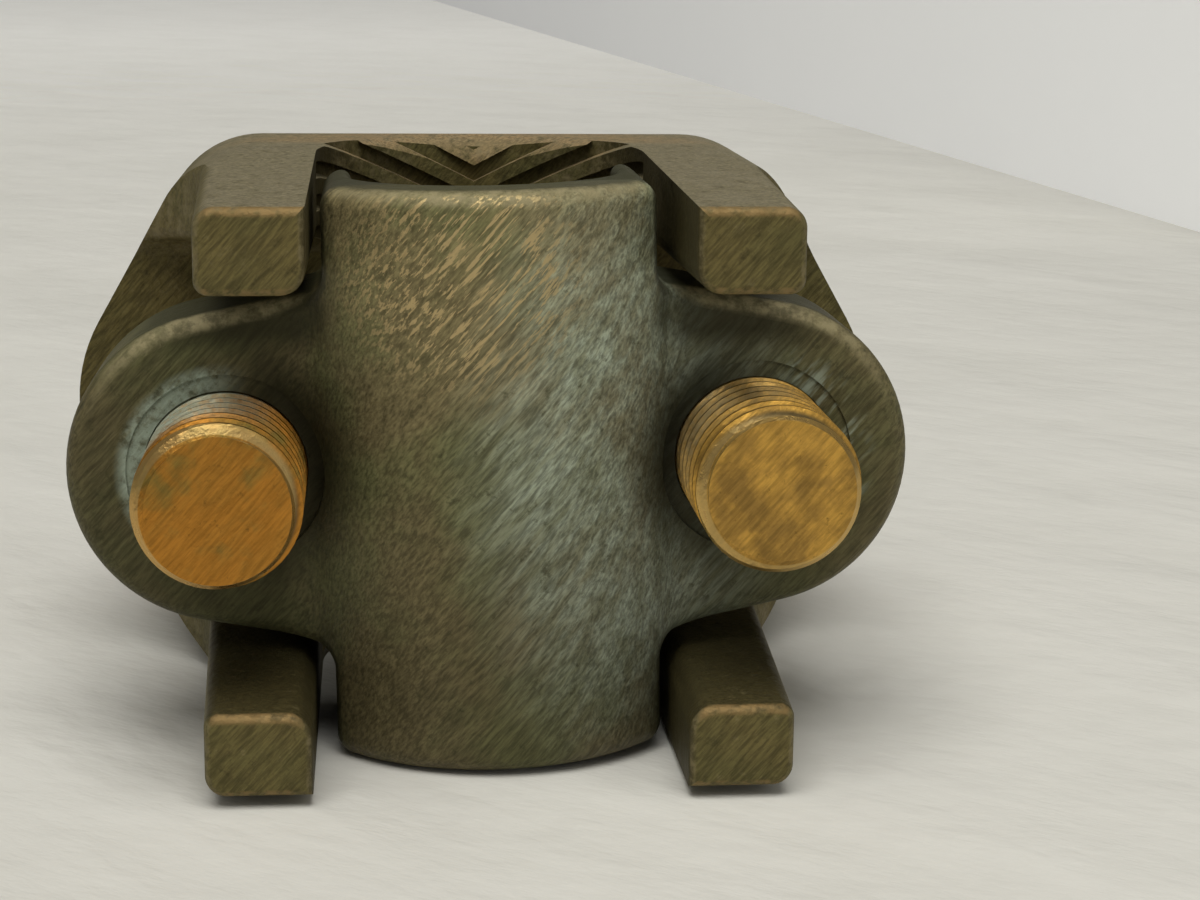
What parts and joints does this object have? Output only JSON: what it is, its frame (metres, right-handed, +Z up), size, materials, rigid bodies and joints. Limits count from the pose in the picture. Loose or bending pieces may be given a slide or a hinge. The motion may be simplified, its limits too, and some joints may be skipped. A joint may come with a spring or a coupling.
{
  "type": "two-bolt parallel clamp connector",
  "caption": "Cast bronze parallel clamp connector: a ribbed rear body with guide fingers and a sliding saddle cap, drawn together by hex bolts to grip a run and a tap cable side by side.",
  "frame": {"origin": "middle of the footprint, on the surface that the connector stands on", "axes": "+Z up along the cables, +X across the two bolts, +Y from the finger tips to the bolt heads"},
  "size_m": [0.0704, 0.0666, 0.0454],
  "materials": {
    "cast_bronze_body": "brown-grey weathered sand casting",
    "cast_bronze_cap": "olive-grey weathered sand casting",
    "bolt_bronze": "worn golden bronze, tarnished on the thread",
    "washer_bronze": "dull spring bronze"
  },
  "bodies": {
    "body": {"rear_body": "cast_bronze_body", "lock_washer_left": "washer_bronze", "lock_washer_right": "washer_bronze"},
    "left_bolt": {"bolt_left": "bolt_bronze"},
    "right_bolt": {"bolt_right": "bolt_bronze"},
    "cap": {"clamp_cap": "cast_bronze_cap"}
  },
  "joints": [
    {"name": "left_bolt_turn", "type": "hinge", "parent": "body", "child": "left_bolt", "pos_m": [-0.0208, 0, 0.02226], "axis": [0, -1, 0], "range_deg": [-2160, 2700]},
    {"name": "right_bolt_turn", "type": "hinge", "parent": "body", "child": "right_bolt", "pos_m": [0.0208, 0, 0.02314], "axis": [0, -1, 0], "range_deg": [-2160, 2700]},
    {"name": "cap_slide", "type": "slide", "parent": "body", "child": "cap", "axis": [0, 1, 0], "range_m": [-0.01172, 0.01465]}
  ],
  "couplings": [
    {"joint": "left_bolt_turn", "follows": "cap_slide", "rad_per_m": 3215.8},
    {"joint": "right_bolt_turn", "follows": "cap_slide", "rad_per_m": 3215.8}
  ]
}
